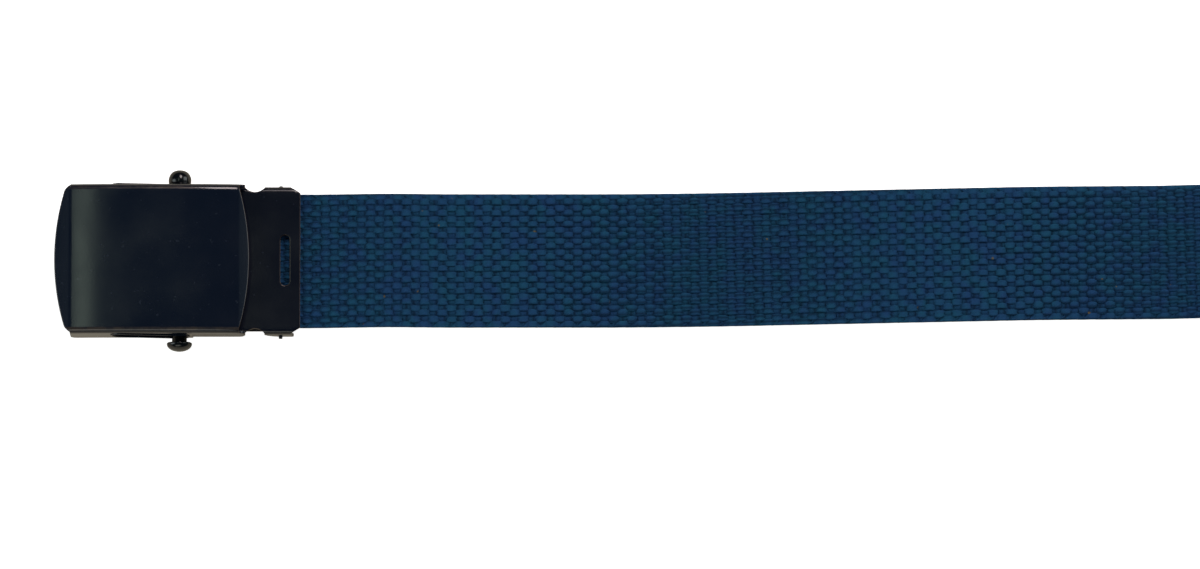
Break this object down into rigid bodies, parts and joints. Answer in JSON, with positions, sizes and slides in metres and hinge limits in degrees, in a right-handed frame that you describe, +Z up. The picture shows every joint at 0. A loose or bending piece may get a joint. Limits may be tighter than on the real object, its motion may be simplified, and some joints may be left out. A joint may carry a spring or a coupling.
{
  "type": "canvas web belt with a roller-bar box buckle",
  "caption": "Woven web belt end with a box buckle: a curved black face over a sliding roller bar, a hinged clamp that holds the strap, and a metal tip.",
  "frame": {"origin": "bottom centre of the whole belt, on the surface that it lies on", "axes": "+X along the belt from the buckle to the tip, +Y across it to the bar's ball head, +Z up out of the buckle's face"},
  "size_m": [0.2892, 0.0432, 0.0096],
  "materials": {
    "cover_paint": "black paint, semi-gloss, baked on pressed steel",
    "frame_paint": "black paint, semi-gloss, baked on pressed steel",
    "bar_finish": "black, glossy, turned steel",
    "lever_paint": "black paint, semi-gloss, pressed steel",
    "webbing_cotton": "matte navy cotton, coarse double-ply plain weave",
    "tip_paint": "black paint, semi-gloss, pressed steel"
  },
  "bodies": {
    "belt": {"face_cover": "cover_paint", "clip_frame": "frame_paint", "webbing": "webbing_cotton", "end_tip": "tip_paint"},
    "bar": {"roller_bar": "bar_finish"},
    "lever": {"clamp_lever": "lever_paint"}
  },
  "joints": [
    {"name": "bar_slide", "type": "slide", "parent": "belt", "child": "bar", "axis": [-0.9841, 0, 0.1776], "range_m": [0, 0.0139]},
    {"name": "lever_hinge", "type": "hinge", "parent": "belt", "child": "lever", "pos_m": [-0.09133, 0, 0.0014], "axis": [0, -1, 0], "range_deg": [0, 95]}
  ]
}
